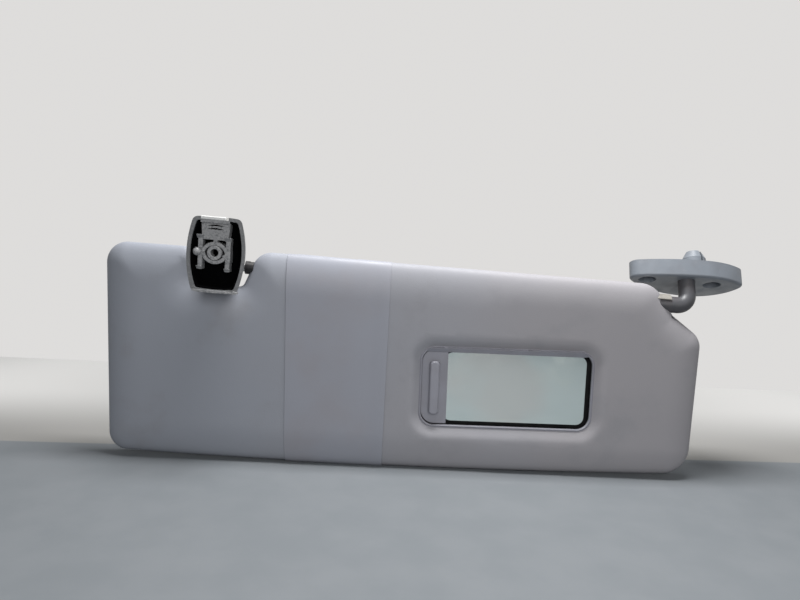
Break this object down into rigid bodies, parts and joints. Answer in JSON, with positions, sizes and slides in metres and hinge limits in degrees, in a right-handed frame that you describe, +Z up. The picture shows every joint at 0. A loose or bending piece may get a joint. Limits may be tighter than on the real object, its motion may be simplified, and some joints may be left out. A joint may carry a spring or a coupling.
{
  "type": "car sun visor",
  "caption": "Vinyl-covered sun visor on a swivel arm, with base plate, counter-clip on a notch rod, ticket band and a mirror behind a sliding cover.",
  "frame": {"origin": "on the base plate's mounting face, where the arm's swivel axis meets it", "axes": "+X along the fold axis from the free end to the pivot end, +Y towards the windscreen, +Z up with the board hanging upright"},
  "size_m": [0.4867, 0.0741, 0.1926],
  "materials": {
    "vinyl": "soft grained vinyl",
    "band": "smooth satin sheet",
    "core": "moulded",
    "grey_plastic": "fine satin moulding",
    "black_plastic": "satin moulding",
    "dark_lining": "flocked",
    "steel": "drawn",
    "spring_steel": "blued",
    "mirror_glass": "silvered",
    "foam": "foam tape"
  },
  "bodies": {
    "base": {"base_plate": "grey_plastic", "base_lid": "grey_plastic"},
    "arm": {"arm_sleeve": "black_plastic", "pivot_rod": "steel", "friction_spring": "spring_steel", "retaining_washer": "steel", "rod_stop": "steel"},
    "board": {"vinyl_cover": "vinyl", "front_core": "core", "rear_core": "core", "ticket_band": "band", "pivot_bush": "black_plastic", "end_bush": "black_plastic", "detent_clamp": "spring_steel", "clamp_bracket": "black_plastic", "clip_rod": "steel", "left_collar": "black_plastic", "right_collar": "black_plastic", "mirror_frame": "grey_plastic", "mirror_glass": "mirror_glass", "mirror_foam": "foam", "mirror_tray": "core"},
    "clip": {"clip_housing": "grey_plastic", "clip_liner": "dark_lining", "clip_claw": "black_plastic", "clip_spring": "steel"},
    "cover": {"mirror_cover": "grey_plastic"}
  },
  "joints": [
    {"name": "arm_swivel", "type": "hinge", "parent": "base", "child": "arm", "pos_m": [0, 0, 0], "axis": [0, 0.4226, 0.9063], "range_deg": [0, 100]},
    {"name": "visor_fold", "type": "hinge", "parent": "arm", "child": "board", "pos_m": [0, -0.01416, -0.03036], "axis": [1, 0, 0], "range_deg": [-118, 35]},
    {"name": "clip_swivel", "type": "hinge", "parent": "board", "child": "clip", "pos_m": [0, -0.01416, -0.03036], "axis": [1, 0, 0], "range_deg": [-150, 0]},
    {"name": "cover_slide", "type": "slide", "parent": "board", "child": "cover", "axis": [0.9986, 0, 0.0523], "range_m": [0, 0.11]}
  ]
}
